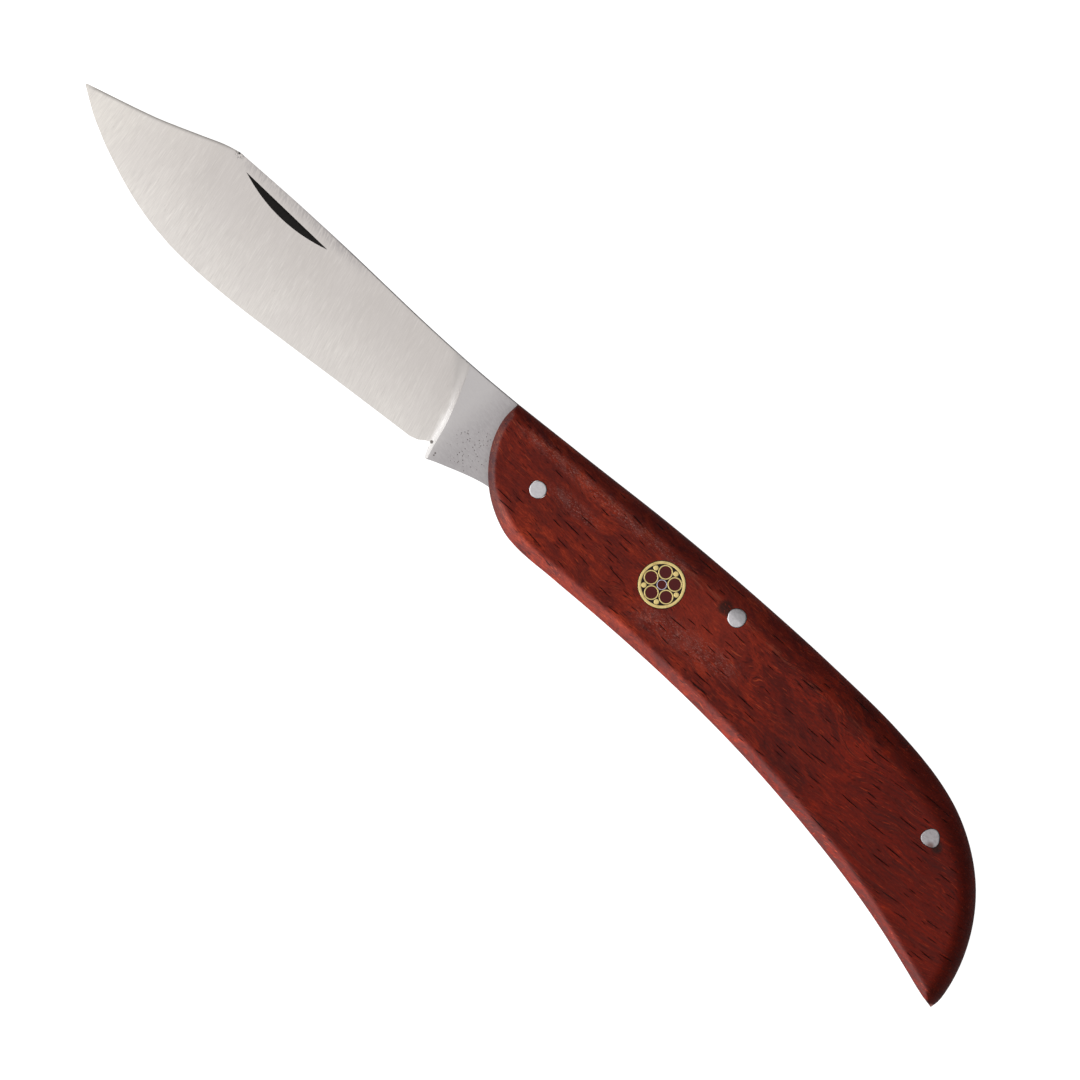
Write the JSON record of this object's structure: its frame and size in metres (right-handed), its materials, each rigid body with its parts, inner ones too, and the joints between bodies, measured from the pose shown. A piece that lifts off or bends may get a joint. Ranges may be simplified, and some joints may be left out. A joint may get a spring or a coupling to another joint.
{
  "type": "grafting knife",
  "caption": "Folding slip-joint grafting knife, open, with a clip-point blade, a curved red-brown wooden handle and round mosaic inlays.",
  "frame": {"origin": "middle of the open knife's footprint, on the face of the right-hand scale it lies on", "axes": "+X from the blade's tip to the butt, +Y to the back of the knife, +Z out of the left-hand scale, along the pins"},
  "size_m": [0.2074, 0.0345, 0.013],
  "materials": {
    "blade_steel": "satin, fine brush lines from spine to edge",
    "frame_steel": "satin",
    "pin_steel": "peened flush and polished",
    "wood": "oiled, satin",
    "inlay_brass": "polished flush",
    "inlay_resin": "cast dark resin, polished flush"
  },
  "bodies": {
    "handle": {"liner_left": "frame_steel", "liner_right": "frame_steel", "scale_left": "wood", "scale_right": "wood", "pivot_pin": "pin_steel", "centre_pin": "pin_steel", "butt_pin": "pin_steel", "inlay_left_sleeve": "inlay_brass", "inlay_left_resin": "inlay_resin", "inlay_left_core_tube": "pin_steel", "inlay_left_tube_1": "inlay_brass", "inlay_left_tube_2": "inlay_brass", "inlay_left_tube_3": "inlay_brass", "inlay_left_tube_4": "inlay_brass", "inlay_left_tube_5": "inlay_brass", "inlay_left_rod_1": "inlay_brass", "inlay_left_rod_2": "inlay_brass", "inlay_left_rod_3": "inlay_brass", "inlay_left_rod_4": "inlay_brass", "inlay_left_rod_5": "inlay_brass", "inlay_right_sleeve": "inlay_brass", "inlay_right_resin": "inlay_resin", "inlay_right_core_tube": "pin_steel", "inlay_right_tube_1": "inlay_brass", "inlay_right_tube_2": "inlay_brass", "inlay_right_tube_3": "inlay_brass", "inlay_right_tube_4": "inlay_brass", "inlay_right_tube_5": "inlay_brass", "inlay_right_rod_1": "inlay_brass", "inlay_right_rod_2": "inlay_brass", "inlay_right_rod_3": "inlay_brass", "inlay_right_rod_4": "inlay_brass", "inlay_right_rod_5": "inlay_brass"},
    "blade": {"blade": "blade_steel"},
    "back_spring": {"back_spring": "frame_steel"}
  },
  "joints": [
    {"name": "blade_pivot", "type": "hinge", "parent": "handle", "child": "blade", "pos_m": [-0.00343, 0.00036, 0.0065], "axis": [0, 0, 1], "range_deg": [0, 171]},
    {"name": "spring_flex", "type": "hinge", "parent": "handle", "child": "back_spring", "pos_m": [0.08282, 0.00921, 0.0065], "axis": [0, 0, -1], "range_deg": [0, 0.25], "stiffness_Nm_per_rad": 12}
  ]
}
